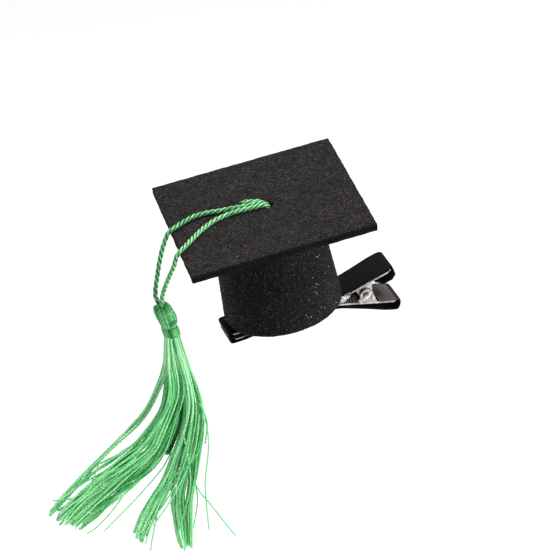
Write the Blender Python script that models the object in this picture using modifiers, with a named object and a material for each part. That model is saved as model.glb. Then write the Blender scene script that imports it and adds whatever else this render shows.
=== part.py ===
"""Graduation cap hair clip: a small glitter-felt mortarboard on a ribbon-lined alligator clip.

World frame: metres, +Z up, origin at the middle of the closed jaws, clip tip towards -X and
handles towards +X. The clip and the cap lean together by TILT about Y. Everything on them is
placed in the cap frame: its XY plane is where the jaws close, and +Z is the board's normal.
The tassel hangs from the end of its cord loop, in a frame of its own at the tassel's pivot.
"""
import math

import bmesh
import bpy
from mathutils import Matrix, Vector

MM = 0.001

# Driving dimensions, in millimetres and degrees.
TILT = 10.9                # lean of the cap and clip, handles up

BOARD_SIDE = 50.0
BOARD_YAW = -4.5           # the board sits slightly twisted on the clip
BOARD_TOP_Z = 33.7
FELT = 1.0                 # felt thickness
GLUE_FILM = 0.1            # glue gap between glued layers
LOWER_SHIFT = (-0.05, 0.10)  # how far the lower square lies off the upper one
HOLE_CENTRE = (1.1, -0.3)
HOLE_DIAMETER = 3.6

BAND_TOP_RADIUS = 14.5
BAND_BOTTOM_RADIUS = 16.3
BAND_OVAL = 0.94           # Y radius over X radius
BAND_HEIGHT = 29.4
BAND_FELT = 1.2
BAND_LAP = 30.0            # degrees of overlap at the seam
BAND_SEAM = 60.0           # where the strip's inner end lies, from +X towards +Y
BAND_TOP_Z = BOARD_TOP_Z - 2 * FELT - 2 * GLUE_FILM
BASE_TOP_Z = BAND_TOP_Z - BAND_HEIGHT + FELT + GLUE_FILM
GLUE_RING = 2.0            # width and height of the glue fillets inside the band's ends

RIBBON_WIDTH = 10.0
RIBBON = 0.4               # ribbon thickness
STEEL = 0.5                # sheet thickness of the arms
ARM_WIDTH = 8.8
JAW_HALF_GAP = 0.45        # from the closing plane to an arm's inner face
UPPER_TIP_X = -16.7
LOWER_TIP_X = -16.5
UPPER_BEND_X = 14.6
LOWER_BEND_X = 13.2
BEND_REACH = 1.5           # half the length of each arm's rounded bend
UPPER_SLOPE = 12.3
LOWER_SLOPE = 16.8
HANDLE_END_X = 30.5
ARM_CORNER = 1.6           # radius of the arms' corners in plan
RIBBON_LIFT = 0.03         # glue between an arm and its ribbon
RIBBON_STOP_X = 25.2       # where the ribbon ends on the inside of a handle
UPPER_SLACK = (0.75, 1.75)  # how far the ribbon stands off its handle, outside and inside
LOWER_SLACK = (1.85, 0.15)
SLACK_START_X = (15.0, 9.0)  # where the slack outside begins, upper and lower
SLACK_FULL_X = 28.0
TIP_FOLD = 5.0             # ribbon folded back inside each jaw tip
FOLD_NARROWING = 0.9       # width of the ribbon in its folds, over its full width
TIP_BULGE = 0.32           # how far the fold stands off the steel's tip, and off a handle's end
HANDLE_BULGE = 0.45
SAG_FULL_X = 27.5          # where the slack inside a handle is full

PIVOT_X = 22.2
PIVOT_Z = -1.1
PIN_RADIUS = 0.6
PIN_CLEARANCE = 0.08
LOWER_EAR_Y = 4.05         # middle of the outer ears' thickness
UPPER_EAR_Y = 3.35         # middle of the inner ears' thickness
LOWER_EAR_NOSE = 1.9       # radius of the ears' round ends about the pin
UPPER_EAR_NOSE = 1.7
EAR_ROOT_X = (19.3, 24.7)  # where the ears join their arm
PIN_LENGTH = 9.6
SPRING_WIRE = 0.6
SPRING_COIL_RADIUS = 1.4
SPRING_TURNS = 5
SPRING_PITCH = 0.78
SPRING_LEG = 2.8

CORD_DIAMETER = 1.3
CORD_LIE_Z = BOARD_TOP_Z + CORD_DIAMETER / 2 + 0.1

# Route of the cord loop's two legs, in the cap frame: up through the hole, across the board,
# over its left edge and down to the tassel.
CORD_LEFT = [
    (1.80, 0.42, 29.30), (1.80, 0.42, 30.60), (1.78, 0.42, 31.90), (1.45, 0.42, 33.15),
    (0.50, 0.42, 34.12), (-0.90, 0.45, CORD_LIE_Z), (-3.50, 0.80, CORD_LIE_Z),
    (-7.00, 1.95, CORD_LIE_Z), (-10.30, 2.75, CORD_LIE_Z), (-14.30, 4.00, CORD_LIE_Z),
    (-17.30, 4.30, CORD_LIE_Z), (-20.60, 3.40, CORD_LIE_Z), (-23.40, 2.10, CORD_LIE_Z),
    (-25.30, 1.25, 34.40), (-26.50, 0.90, 33.50), (-27.50, 0.65, 32.00), (-28.75, 0.35, 30.00),
    (-30.35, -0.20, 26.80), (-31.90, -0.90, 23.35), (-33.15, -1.60, 20.50),
    (-33.70, -2.25, 18.70), (-33.55, -2.70, 17.70),
]
CORD_RIGHT = [
    (1.80, -1.02, 29.30), (1.80, -1.02, 30.60), (1.78, -1.02, 31.90), (1.45, -1.02, 33.15),
    (0.50, -1.02, 34.12), (-0.90, -1.00, CORD_LIE_Z), (-3.50, -0.70, CORD_LIE_Z),
    (-7.00, -0.15, CORD_LIE_Z), (-11.20, -0.40, CORD_LIE_Z), (-14.90, -1.60, CORD_LIE_Z),
    (-18.30, -3.75, CORD_LIE_Z), (-21.70, -6.60, CORD_LIE_Z), (-24.30, -8.90, CORD_LIE_Z),
    (-26.20, -10.15, 34.25), (-27.30, -10.05, 32.80), (-28.40, -9.25, 29.90),
    (-29.90, -7.75, 26.50), (-31.30, -6.30, 23.10), (-32.20, -5.10, 20.30),
    (-32.80, -4.35, 17.60),
]
CORD_STEP = 2.4            # distance between the points of a cord's tube

TASSEL_PIVOT = (-35.1, -3.5, 9.0)    # world frame, in the head where the loop turns
TASSEL_LEAN = 15.9         # the head's axis from straight down, its foot towards +X
HEAD_TOP = 1.8             # above the pivot, along the head's axis
HEAD_LENGTH = 8.1
HEAD_RADIUS = 3.25
WRAP_LENGTH = 3.2
WRAP_RADIUS = 2.45
GAP = 0.3

# Stations of each skirt bundle, in the tassel frame: middle of the section (x, y, z), then
# half its width across the bundle and half its depth along Y.
SKIRTS = {
    "skirt_left": [
        (1.2, -0.2, -10.3, 0.65, 1.4), (0.6, -0.6, -16.6, 1.2, 1.7), (-0.5, -0.9, -24.8, 2.3, 1.8),
        (-3.4, -1.1, -32.5, 3.5, 1.8), (-7.9, -1.1, -39.6, 4.4, 1.8),
        (-13.9, -0.9, -46.4, 4.9, 1.7), (-21.7, -0.5, -53.7, 4.9, 1.5),
        (-29.8, 0.0, -61.3, 4.6, 1.2),
    ],
    "skirt_middle": [
        (2.65, 0.2, -10.8, 0.6, 1.5), (3.3, 0.5, -18.6, 1.0, 1.9), (4.4, 0.7, -27.3, 1.6, 2.2),
        (5.1, 0.7, -36.8, 1.9, 2.3), (4.0, 0.6, -45.3, 2.1, 2.2), (1.4, 0.4, -53.3, 2.3, 2.0),
        (-2.2, 0.2, -61.8, 2.4, 1.8), (-7.9, 0.0, -70.9, 2.1, 1.5),
    ],
    "skirt_right": [
        (4.05, 0.0, -10.9, 0.6, 1.4), (5.9, 0.1, -19.1, 1.1, 1.8), (8.1, 0.2, -27.8, 1.6, 2.1),
        (9.3, 0.3, -37.6, 2.0, 2.2), (8.7, 0.3, -45.9, 2.2, 2.2), (7.1, 0.2, -56.8, 2.4, 2.1),
        (5.5, 0.1, -66.9, 2.4, 1.9), (4.8, 0.0, -76.9, 2.2, 1.6),
    ],
}
# Routes of the loose strands beside the bundles, in the tassel frame.
WISPS = {
    "skirt_wisp_left": [(1.4, 2.0, -10.9), (0.1, 2.6, -18.3), (-3.1, 2.7, -26.8),
                        (-9.1, 2.7, -34.3), (-17.0, 2.6, -41.9), (-25.5, 2.5, -48.6),
                        (-31.5, 2.2, -53.9), (-35.1, 1.8, -58.6)],
    "skirt_wisp_right": [(3.9, 2.0, -11.1), (6.5, 2.9, -20.3), (9.9, 3.0, -30.3),
                         (12.4, 2.7, -40.3), (11.7, 2.6, -48.8), (12.3, 2.3, -58.3),
                         (15.4, 1.8, -67.8), (19.4, 1.2, -76.3)],
}
WISP_RADIUS = 0.45

COLOURS = {
    "felt": ((0.030, 0.028, 0.028), 0.85, 0.0),
    "ribbon": ((0.010, 0.009, 0.010), 0.55, 0.0),
    "steel": ((0.62, 0.61, 0.58), 0.28, 1.0),
    "glue": ((0.75, 0.74, 0.70), 0.30, 0.0),
    "cord": ((0.10, 0.48, 0.17), 0.45, 0.0),
    "floss": ((0.09, 0.45, 0.14), 0.35, 0.0),
}


# ---- scene ----

def start_scene():
    for old in list(bpy.data.objects):
        bpy.data.objects.remove(old, do_unlink=True)
    groups = {}
    for name in ("graduation_cap", "cutters"):
        groups[name] = bpy.data.collections.new(name)
        bpy.context.scene.collection.children.link(groups[name])
    return groups


def make_frame(name, location_mm=(0, 0, 0), rotation=(0, 0, 0)):
    """An empty that carries the pieces of one frame."""
    frame = bpy.data.objects.new(name, None)
    frame.location = Vector(location_mm) * MM
    frame.rotation_euler = rotation
    GROUPS["graduation_cap"].objects.link(frame)
    return frame


def add_piece(name, data, finish, frame):
    """One sub-part, with its own material, parented to its frame."""
    colour, roughness, metallic = COLOURS[finish]
    material = bpy.data.materials.new(name + "_" + finish)
    material.use_nodes = True
    shader = material.node_tree.nodes["Principled BSDF"]
    shader.inputs["Base Color"].default_value = (*colour, 1)
    shader.inputs["Roughness"].default_value = roughness
    shader.inputs["Metallic"].default_value = metallic
    piece = bpy.data.objects.new(name, data)
    piece.data.materials.append(material)
    piece.parent = frame
    GROUPS["graduation_cap"].objects.link(piece)
    return piece


def add_cutter(name, data, frame):
    cutter = bpy.data.objects.new(name, data)
    cutter.parent = frame
    cutter.hide_render = True
    cutter.display_type = 'WIRE'
    GROUPS["cutters"].objects.link(cutter)
    return cutter


def cut(piece, cutter, operation='DIFFERENCE'):
    boolean = piece.modifiers.new(cutter.name, 'BOOLEAN')
    boolean.operation = operation
    boolean.solver = 'EXACT'
    boolean.object = cutter


def round_edges(piece, width_mm, segments=2):
    bevel = piece.modifiers.new("rounded_edges", 'BEVEL')
    bevel.width = width_mm * MM
    bevel.segments = segments
    bevel.limit_method = 'ANGLE'
    bevel.angle_limit = math.radians(40)


def smooth(piece, angle=35):
    piece.data.shade_smooth()
    piece.data.set_sharp_from_angle(angle=math.radians(angle))


# ---- mesh makers: sizes in millimetres ----

def box_mesh(name, size, middle=(0, 0, 0)):
    mesh = bpy.data.meshes.new(name)
    shape = bmesh.new()
    bmesh.ops.create_cube(shape, size=1.0)
    bmesh.ops.scale(shape, vec=Vector(size) * MM, verts=shape.verts)
    bmesh.ops.translate(shape, vec=Vector(middle) * MM, verts=shape.verts)
    shape.to_mesh(mesh)
    shape.free()
    return mesh


def cylinder_mesh(name, radius, length, sides=24, oval=1.0, turn=None):
    """A cylinder about Z, or about Y when turn is 'Y', centred on the origin."""
    mesh = bpy.data.meshes.new(name)
    shape = bmesh.new()
    bmesh.ops.create_cone(shape, cap_ends=True, segments=sides, radius1=radius * MM,
                          radius2=radius * MM, depth=length * MM)
    bmesh.ops.scale(shape, vec=(1, oval, 1), verts=shape.verts)
    if turn == 'Y':
        bmesh.ops.rotate(shape, matrix=Matrix.Rotation(math.pi / 2, 3, 'X'), verts=shape.verts)
    shape.to_mesh(mesh)
    shape.free()
    return mesh


def sheet_mesh(name, stations, columns=5):
    """An open sheet along a side path: stations are (x, z, half width along Y)."""
    mesh = bpy.data.meshes.new(name)
    shape = bmesh.new()
    rows = []
    for x, z, half in stations:
        spread = [half * (2 * i / (columns - 1) - 1) for i in range(columns)]
        rows.append([shape.verts.new((x * MM, y * MM, z * MM)) for y in spread])
    for near, far in zip(rows, rows[1:]):
        for i in range(columns - 1):
            shape.faces.new((near[i], near[i + 1], far[i + 1], far[i]))
    shape.to_mesh(mesh)
    shape.free()
    return mesh


def thicken(piece, thickness_mm, offset):
    solid = piece.modifiers.new("thickness", 'SOLIDIFY')
    solid.thickness = thickness_mm * MM
    solid.offset = offset
    solid.use_even_offset = True


def turned_mesh(name, profile):
    """A profile of (radius, z) points at +X, running down, for a Screw modifier."""
    mesh = bpy.data.meshes.new(name)
    points = [(radius * MM, 0, z * MM) for radius, z in profile]
    mesh.from_pydata(points, [(i, i + 1) for i in range(len(points) - 1)], [])
    return mesh


def turn(piece, steps=32):
    screw = piece.modifiers.new("turned", 'SCREW')
    screw.steps = steps
    screw.render_steps = steps
    screw.use_merge_vertices = True
    screw.merge_threshold = 0.00001
    screw.use_smooth_shade = True


def plate_curve(name, outline, thickness_mm):
    """A flat outline with half its thickness extruded to each side."""
    curve = bpy.data.curves.new(name, 'CURVE')
    curve.dimensions = '2D'
    curve.fill_mode = 'BOTH'
    curve.extrude = thickness_mm / 2 * MM
    spline = curve.splines.new('POLY')
    spline.points.add(len(outline) - 1)
    for point, (x, z) in zip(spline.points, outline):
        point.co = (x * MM, z * MM, 0, 1)
    spline.use_cyclic_u = True
    return curve


def curve_to_mesh(name, curve, matrix):
    """The solid of a curve as a welded mesh, with the matrix applied."""
    carrier = bpy.data.objects.new(name, curve)
    bpy.context.scene.collection.objects.link(carrier)
    bpy.context.view_layer.update()
    evaluated = carrier.evaluated_get(bpy.context.evaluated_depsgraph_get())
    mesh = bpy.data.meshes.new_from_object(evaluated)
    bpy.data.objects.remove(carrier, do_unlink=True)
    mesh.transform(matrix)
    shape = bmesh.new()
    shape.from_mesh(mesh)
    bmesh.ops.remove_doubles(shape, verts=shape.verts, dist=0.00001)
    bmesh.ops.recalc_face_normals(shape, faces=shape.faces)
    shape.to_mesh(mesh)
    shape.free()
    return mesh


def tube_curve(name, points, radius_mm):
    """A wire or cord: a POLY spline with a round section and closed ends."""
    curve = bpy.data.curves.new(name, 'CURVE')
    curve.dimensions = '3D'
    curve.bevel_depth = radius_mm * MM
    curve.bevel_resolution = 2
    curve.use_fill_caps = True
    spline = curve.splines.new('POLY')
    spline.points.add(len(points) - 1)
    for point, place in zip(spline.points, points):
        point.co = (*(Vector(place) * MM), 1)
    return curve


def smooth_route(route, step):
    """Points a step apart on a Catmull-Rom curve through the route's points."""
    knots = [Vector(p) for p in route]
    padded = [2 * knots[0] - knots[1]] + knots + [2 * knots[-1] - knots[-2]]
    fine = []
    for a, b, c, d in zip(padded, padded[1:], padded[2:], padded[3:]):
        for i in range(20):
            t = i / 20
            fine.append(0.5 * (2 * b + (c - a) * t + (2 * a - 5 * b + 4 * c - d) * t ** 2
                               + (3 * b - a - 3 * c + d) * t ** 3))
    fine.append(knots[-1])
    total = sum((q - p).length for p, q in zip(fine, fine[1:]))
    count = round(total / step)
    points, walked, wanted = [fine[0]], 0.0, total / count
    for p, q in zip(fine, fine[1:]):
        span = (q - p).length
        while walked + span >= wanted and len(points) < count:
            points.append(p.lerp(q, (wanted - walked) / span))
            wanted += total / count
        walked += span
    return points + [fine[-1]]


def loft_mesh(name, stations, sides=14):
    """Oval sections square to their path, joined into one closed skin.

    A station is (x, y, z, half width across the path, half depth along Y).
    """
    mesh = bpy.data.meshes.new(name)
    shape = bmesh.new()
    rings = []
    for i, (x, y, z, half_width, half_depth) in enumerate(stations):
        before, after = stations[max(i - 1, 0)], stations[min(i + 1, len(stations) - 1)]
        along = Vector((after[0] - before[0], 0, after[2] - before[2])).normalized()
        across = Vector((-along.z, 0, along.x)) if i else Vector((1, 0, 0))
        ring = []
        for k in range(sides):
            angle = 2 * math.pi * k / sides
            place = Vector((x, y, z)) + across * (half_width * math.cos(angle))
            place.y += half_depth * math.sin(angle)
            ring.append(shape.verts.new(place * MM))
        rings.append(ring)
    for upper, lower in zip(rings, rings[1:]):
        for i in range(sides):
            k = (i + 1) % sides
            shape.faces.new((upper[i], lower[i], lower[k], upper[k]))
    shape.faces.new(rings[0])
    shape.faces.new(list(reversed(rings[-1])))
    bmesh.ops.recalc_face_normals(shape, faces=shape.faces)
    shape.to_mesh(mesh)
    shape.free()
    return mesh


# ---- the cap ----

def make_board():
    """Two felt squares glued face to face, with the cord's hole through both."""
    hole = add_cutter("board_hole", cylinder_mesh("board_hole", HOLE_DIAMETER / 2, 12), CAP)
    hole.location = Vector((*HOLE_CENTRE, BOARD_TOP_Z - 1)) * MM
    layers = (("board_top_felt", BOARD_TOP_Z, (0, 0)),
              ("board_bottom_felt", BOARD_TOP_Z - FELT - GLUE_FILM, LOWER_SHIFT))
    for name, top, shift in layers:
        felt = add_piece(name, box_mesh(name, (BOARD_SIDE, BOARD_SIDE, FELT)), "felt", CAP)
        felt.location = Vector((*shift, top - FELT / 2)) * MM
        felt.rotation_euler.z = math.radians(BOARD_YAW)
        round_edges(felt, 0.25)
        cut(felt, hole)


def band_radius(z):
    """Outer radius of the band at height z of the cap frame."""
    drop = (BAND_TOP_Z - z) / BAND_HEIGHT
    return BAND_TOP_RADIUS + (BAND_BOTTOM_RADIUS - BAND_TOP_RADIUS) * drop


def make_band():
    """A felt strip rolled to a ring: its outer end climbs over its inner end."""
    mesh = bpy.data.meshes.new("band_wall")
    shape = bmesh.new()
    columns, levels = 90, 4
    sweep = 360 + BAND_LAP
    rise = BAND_LAP * 0.7
    grid = []
    for i in range(columns + 1):
        along = sweep * i / columns
        climb = min(max((along - (360 - rise)) / rise, 0), 1)
        climb = climb * climb * (3 - 2 * climb) * (BAND_FELT + GLUE_FILM)
        angle = math.radians(BAND_SEAM + along)
        column = []
        for j in range(levels + 1):
            z = BAND_TOP_Z - BAND_HEIGHT * j / levels
            radius = band_radius(z) - BAND_FELT + climb
            x, y = radius * math.cos(angle), radius * math.sin(angle) * BAND_OVAL
            column.append(shape.verts.new(Vector((x, y, z)) * MM))
        grid.append(column)
    for left, right in zip(grid, grid[1:]):
        for j in range(levels):
            shape.faces.new((left[j], left[j + 1], right[j + 1], right[j]))
    shape.to_mesh(mesh)
    shape.free()
    band = add_piece("band_wall", mesh, "felt", CAP)
    thicken(band, BAND_FELT, 1)


def make_base():
    """The felt disc that closes the band, and the glue inside the band's two ends."""
    inner = band_radius(BASE_TOP_Z) - BAND_FELT - GAP
    disc = add_piece("base_disc", cylinder_mesh("base_disc", inner - 0.2, FELT, 64, BAND_OVAL),
                     "felt", CAP)
    disc.location.z = (BASE_TOP_Z - FELT / 2) * MM
    rings = (("board_glue_ring", BAND_TOP_Z - 0.15, -1), ("base_glue_ring", BASE_TOP_Z + 0.15, 1))
    for name, z, direction in rings:
        outer = band_radius(z) - BAND_FELT - GAP
        upright = [(outer, z), (outer, z + GLUE_RING * direction)]
        upright.sort(key=lambda corner: -corner[1])
        corners = upright + [(outer - GLUE_RING, z), upright[0]]
        ring = add_piece(name, turned_mesh(name, corners), "glue", CAP)
        turn(ring, 48)
        ring.scale.y = BAND_OVAL


# ---- the clip ----

def arm_height(side, x):
    """How far an arm's inner face stands from the closing plane at x."""
    bend, slope = (UPPER_BEND_X, UPPER_SLOPE) if side > 0 else (LOWER_BEND_X, LOWER_SLOPE)
    past = x - bend
    if past < -BEND_REACH:
        past = 0
    elif past < BEND_REACH:
        past = (past + BEND_REACH) ** 2 / (4 * BEND_REACH)
    return JAW_HALF_GAP + past * math.tan(math.radians(slope))


def arm_stations(side):
    """An arm's inner face as (x, z, half width), closer together at its round corners."""
    tip, bend = (UPPER_TIP_X, UPPER_BEND_X) if side > 0 else (LOWER_TIP_X, LOWER_BEND_X)
    corner = [0, 0.25, 0.8, ARM_CORNER]
    along = [tip + d for d in corner] + [tip + (bend - tip) * i / 5 for i in range(1, 5)]
    along += [bend - BEND_REACH, bend, bend + BEND_REACH]
    first = bend + BEND_REACH
    last = HANDLE_END_X - ARM_CORNER
    along += [first + (last - first) * i / 6 for i in range(1, 6)]
    along += [HANDLE_END_X - d for d in reversed(corner)]
    stations = []
    for x in along:
        short = max(ARM_CORNER - min(x - tip, HANDLE_END_X - x), 0)
        half = ARM_WIDTH / 2 - ARM_CORNER + math.sqrt(max(ARM_CORNER ** 2 - short ** 2, 0))
        stations.append((x, side * arm_height(side, x), half))
    return stations


def ear_outline(side):
    """Outline of an ear in the XZ plane, from its own arm towards the other one."""
    nose = UPPER_EAR_NOSE if side > 0 else LOWER_EAR_NOSE
    roots = [(x, side * (arm_height(side, x) + STEEL / 2)) for x in EAR_ROOT_X]
    turned = [math.radians(a) for a in range(180, -1, -20)]
    tip = [(PIVOT_X + nose * math.cos(a), PIVOT_Z - side * nose * math.sin(a)) for a in turned]
    outline = [roots[0]] + tip + [roots[1]]
    return outline if side > 0 else outline[::-1]


def make_arm(name, side, ear_y):
    """A stamped arm: bent sheet, two ears joined to it, and the pin's hole through them."""
    arm = add_piece(name, sheet_mesh(name, arm_stations(side)), "steel", CAP)
    thicken(arm, STEEL, -side)
    stand = Matrix.Rotation(math.pi / 2, 4, 'X')
    for hand, label in ((1, "far"), (-1, "near")):
        shift = Matrix.Translation((0, hand * ear_y * MM, 0))
        curve = plate_curve(name + "_ear", ear_outline(side), STEEL)
        mesh = curve_to_mesh(name + "_ear_" + label, curve, shift @ stand)
        cut(arm, add_cutter(name + "_ear_" + label, mesh, CAP), 'UNION')
    hole = cylinder_mesh(name + "_pin_hole", PIN_RADIUS + PIN_CLEARANCE, 14, 24, turn='Y')
    hole_cutter = add_cutter(name + "_pin_hole", hole, CAP)
    hole_cutter.location = Vector((PIVOT_X, 0, PIVOT_Z)) * MM
    cut(arm, hole_cutter)


def ease(share):
    """0 to 1, flat at both ends."""
    share = min(max(share, 0), 1)
    return share * share * (3 - 2 * share)


def ribbon_stations(side):
    """A ribbon's face towards its arm: (x, z, half width), from inside the jaw tip to inside
    the handle. Heights are from the closing plane, away from the other arm."""
    tip = UPPER_TIP_X if side > 0 else LOWER_TIP_X
    slope = math.radians(UPPER_SLOPE if side > 0 else LOWER_SLOPE)
    outer_slack, inner_slack = UPPER_SLACK if side > 0 else LOWER_SLACK
    slack_start = SLACK_START_X[0 if side > 0 else 1]
    lift = STEEL + RIBBON_LIFT
    narrow = FOLD_NARROWING
    under = JAW_HALF_GAP - RIBBON_LIFT
    over = JAW_HALF_GAP + lift
    path = [(tip + TIP_FOLD, under, 1), (tip + 2.0, under, 1), (tip - 0.10, under, narrow),
            (tip - TIP_BULGE, under + 0.2, narrow), (tip - TIP_BULGE, over - 0.2, narrow),
            (tip - 0.10, over, narrow)]
    for i in range(1, 16):
        x = tip + (HANDLE_END_X - 1.0 - tip) * i / 15
        slack = outer_slack * max((x - slack_start) / (SLACK_FULL_X - slack_start), 0) ** 1.6
        rise = (lift + min(slack, outer_slack)) / math.cos(slope if x > LOWER_BEND_X else 0)
        path.append((x, arm_height(side, x) + rise, 1))
    top, bottom = lift + outer_slack, -RIBBON_LIFT - inner_slack
    end = Vector((HANDLE_END_X, arm_height(side, HANDLE_END_X)))
    along = Vector((math.cos(slope), math.sin(slope)))
    normal = Vector((-along.y, along.x))
    for angle in range(75, -76, -30):
        turned = math.radians(angle)
        height = (top + bottom) / 2 + (top - bottom) / 2 * math.sin(turned)
        place = end + along * (HANDLE_BULGE * math.cos(turned)) + normal * height
        path.append((place.x, place.y, narrow))
    for i in range(6):
        x = HANDLE_END_X - 0.7 - (HANDLE_END_X - 0.7 - RIBBON_STOP_X) * i / 5
        sag = RIBBON_LIFT + inner_slack * ease((x - RIBBON_STOP_X) / (SAG_FULL_X - RIBBON_STOP_X))
        path.append((x, arm_height(side, x) - sag / math.cos(slope), 1))
    return [(x, side * z, RIBBON_WIDTH / 2 * width) for x, z, width in path]


def make_ribbon(name, side):
    """Ribbon along an arm's outer face, folded in round the tip and round the handle's end."""
    ribbon = add_piece(name, sheet_mesh(name, ribbon_stations(side), 3), "ribbon", CAP)
    thicken(ribbon, RIBBON, -side)


def make_pin():
    pin = add_piece("pivot_pin", cylinder_mesh("pivot_pin", PIN_RADIUS, PIN_LENGTH, 24, turn='Y'),
                    "steel", CAP)
    pin.location = Vector((PIVOT_X, 0, PIVOT_Z)) * MM


def make_spring():
    """A coil round the pin, with one leg along each handle."""
    points = []
    span = SPRING_PITCH * SPRING_TURNS
    upper = math.radians(90 + UPPER_SLOPE)
    lower = math.radians(-90 - LOWER_SLOPE)
    turns = SPRING_TURNS + (upper - lower) / (2 * math.pi)
    steps = round(12 * turns)
    for i in range(steps + 1):
        t = i / steps
        angle = upper - t * turns * 2 * math.pi
        points.append((PIVOT_X + SPRING_COIL_RADIUS * math.cos(angle), span * (t - 0.5),
                       PIVOT_Z + SPRING_COIL_RADIUS * math.sin(angle)))
    last = Vector(points[-1])
    first = Vector(points[0])
    leg_up = Vector((math.cos(math.radians(UPPER_SLOPE)), 0, math.sin(math.radians(UPPER_SLOPE))))
    leg_down = Vector((math.cos(math.radians(LOWER_SLOPE)), 0,
                       -math.sin(math.radians(LOWER_SLOPE))))
    whole = [first + leg_up * SPRING_LEG, first + leg_up * (SPRING_LEG / 2)] + points
    whole += [last + leg_down * (SPRING_LEG / 2), last + leg_down * SPRING_LEG]
    add_piece("torsion_spring", tube_curve("torsion_spring", whole, SPRING_WIRE / 2),
              "steel", CAP)


def make_glue_pad():
    """Hot glue between the base disc and the upper ribbon."""
    top = BASE_TOP_Z - FELT - 0.1
    bottom = JAW_HALF_GAP + STEEL + 0.05 + RIBBON + 0.1
    pad = add_piece("clip_glue_pad", cylinder_mesh("clip_glue_pad", 13.2, top - bottom, 40, 0.33),
                    "glue", CAP)
    pad.location = Vector((-0.3, 0, (top + bottom) / 2)) * MM
    round_edges(pad, 0.15, 1)


# ---- the cord and the tassel ----

def make_cord():
    """The loop's two legs, and the knot under the board that holds them."""
    for name, route in (("cord_leg_left", CORD_LEFT), ("cord_leg_right", CORD_RIGHT)):
        tube = tube_curve(name, smooth_route(route, CORD_STEP), CORD_DIAMETER / 2)
        add_piece(name, tube, "cord", CAP)
    knot = bpy.data.meshes.new("cord_knot")
    shape = bmesh.new()
    bmesh.ops.create_uvsphere(shape, u_segments=20, v_segments=10, radius=1)
    bmesh.ops.scale(shape, vec=(2.3 * MM, 2.6 * MM, 1.8 * MM), verts=shape.verts)
    shape.to_mesh(knot)
    shape.free()
    piece = add_piece("cord_knot", knot, "cord", CAP)
    piece.location = Vector((1.8, -0.3, CORD_LEFT[0][2] - 1.8 - GAP)) * MM
    smooth(piece)


def make_tassel():
    """Head and neck wrap on the leaning axis, then the skirt's bundles."""
    axis = make_frame("tassel_axis", rotation=(0, -math.radians(TASSEL_LEAN), 0))
    axis.parent = TASSEL
    foot = HEAD_TOP - HEAD_LENGTH
    head = [(0.0, HEAD_TOP), (0.9, 1.6), (1.7, 1.1), (2.5, 0.2), (3.05, -0.9),
            (HEAD_RADIUS, -2.0), (3.1, -3.5), (2.6, -5.1), (1.9, foot), (0.0, foot)]
    piece = add_piece("tassel_head", turned_mesh("tassel_head", head), "floss", axis)
    turn(piece)
    top = foot - GAP
    wrap = [(0.0, top), (WRAP_RADIUS - 0.3, top), (WRAP_RADIUS, top - 0.4),
            (WRAP_RADIUS, top - WRAP_LENGTH + 0.4), (WRAP_RADIUS - 0.3, top - WRAP_LENGTH),
            (0.0, top - WRAP_LENGTH)]
    piece = add_piece("tassel_neck_wrap", turned_mesh("tassel_neck_wrap", wrap), "floss", axis)
    turn(piece)
    for name, stations in SKIRTS.items():
        bundle = add_piece(name, loft_mesh(name, stations), "floss", TASSEL)
        smooth(bundle, 60)
    for name, route in WISPS.items():
        tube = tube_curve(name, smooth_route(route, 3.0), WISP_RADIUS)
        add_piece(name, tube, "floss", TASSEL)


# ---- assembly ----

GROUPS = start_scene()
CAP = make_frame("cap_frame", rotation=(0, -math.radians(TILT), 0))
TASSEL = make_frame("tassel_frame", TASSEL_PIVOT)

make_board()
make_band()
make_base()
make_arm("clip_upper_arm", 1, UPPER_EAR_Y)
make_arm("clip_lower_arm", -1, LOWER_EAR_Y)
make_ribbon("ribbon_upper", 1)
make_ribbon("ribbon_lower", -1)
make_pin()
make_spring()
make_glue_pad()
make_cord()
make_tassel()
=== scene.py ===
"""Looks of the graduation cap hair clip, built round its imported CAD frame.

Places are worked out in millimetres, in one of three frames, and become metres in the row frame:
CAP leans with the cap and the clip, and its XY plane is where the jaws close. TASSEL stands
upright at the tassel's pivot. AXIS is the same, leaning along the tassel's head, foot towards +X.
"""
import math
import random

import bpy
import numpy as np
from mathutils import Matrix, Vector


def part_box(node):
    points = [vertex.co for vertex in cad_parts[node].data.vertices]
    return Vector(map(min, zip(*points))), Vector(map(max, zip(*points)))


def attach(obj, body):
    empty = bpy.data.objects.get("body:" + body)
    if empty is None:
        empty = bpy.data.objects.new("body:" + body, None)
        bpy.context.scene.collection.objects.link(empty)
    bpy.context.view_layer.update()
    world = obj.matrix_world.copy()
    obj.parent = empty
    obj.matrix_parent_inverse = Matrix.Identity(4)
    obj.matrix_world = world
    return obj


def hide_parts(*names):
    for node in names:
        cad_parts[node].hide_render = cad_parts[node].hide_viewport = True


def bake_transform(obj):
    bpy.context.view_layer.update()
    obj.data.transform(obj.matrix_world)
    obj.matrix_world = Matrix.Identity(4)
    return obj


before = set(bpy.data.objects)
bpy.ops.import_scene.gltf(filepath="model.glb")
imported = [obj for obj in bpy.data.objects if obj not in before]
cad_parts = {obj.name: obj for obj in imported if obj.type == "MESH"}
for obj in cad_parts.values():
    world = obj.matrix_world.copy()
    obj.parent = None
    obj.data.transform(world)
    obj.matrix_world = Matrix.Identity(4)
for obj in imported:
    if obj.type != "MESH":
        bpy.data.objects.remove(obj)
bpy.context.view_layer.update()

MM = 0.001

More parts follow.
